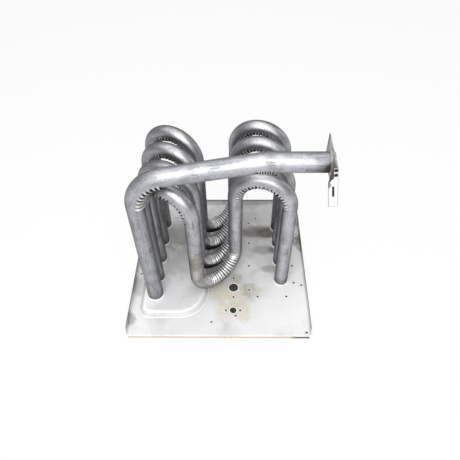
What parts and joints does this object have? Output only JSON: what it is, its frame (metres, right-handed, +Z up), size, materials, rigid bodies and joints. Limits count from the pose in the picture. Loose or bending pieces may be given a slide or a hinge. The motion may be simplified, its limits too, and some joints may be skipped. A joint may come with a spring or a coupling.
{
  "type": "furnace heat exchanger",
  "caption": "Tubular furnace heat exchanger: serpentine wrinkle-bent steel tubes and a flue pipe on a flanged sheet-metal panel.",
  "frame": {"origin": "middle of the footprint, at the level of the surface that the part stands on", "axes": "+X along the panel to the right, towards the flue outlet; +Y to the back; +Z up along the legs"},
  "size_m": [0.593, 0.5842, 0.6336],
  "materials": {
    "tube_steel": "satin aluminised",
    "panel_sheet": "dull galvanised, lightly stained",
    "ferrule_steel": "satin",
    "flange_steel": "heat tinted",
    "bright_zinc": "bright zinc",
    "dark_steel": "black oxide",
    "screw_steel": "zinc",
    "gasket_fibre": "matt fibre"
  },
  "bodies": {
    "root": {"panel": "panel_sheet", "tube_1": "tube_steel", "burner_ferrule_1": "ferrule_steel", "collector_ferrule_1": "ferrule_steel", "tube_2": "tube_steel", "burner_ferrule_2": "ferrule_steel", "collector_ferrule_2": "ferrule_steel", "tube_3": "tube_steel", "burner_ferrule_3": "ferrule_steel", "collector_ferrule_3": "ferrule_steel", "tube_4": "tube_steel", "burner_ferrule_4": "ferrule_steel", "collector_ferrule_4": "ferrule_steel", "flue_ferrule": "ferrule_steel", "flue_pipe": "tube_steel", "flue_flange": "flange_steel", "flue_strap": "bright_zinc", "strap_rivets": "dark_steel", "collector_gasket": "gasket_fibre", "collector_pan": "panel_sheet", "cover_screws": "screw_steel"}
  },
  "joints": []
}
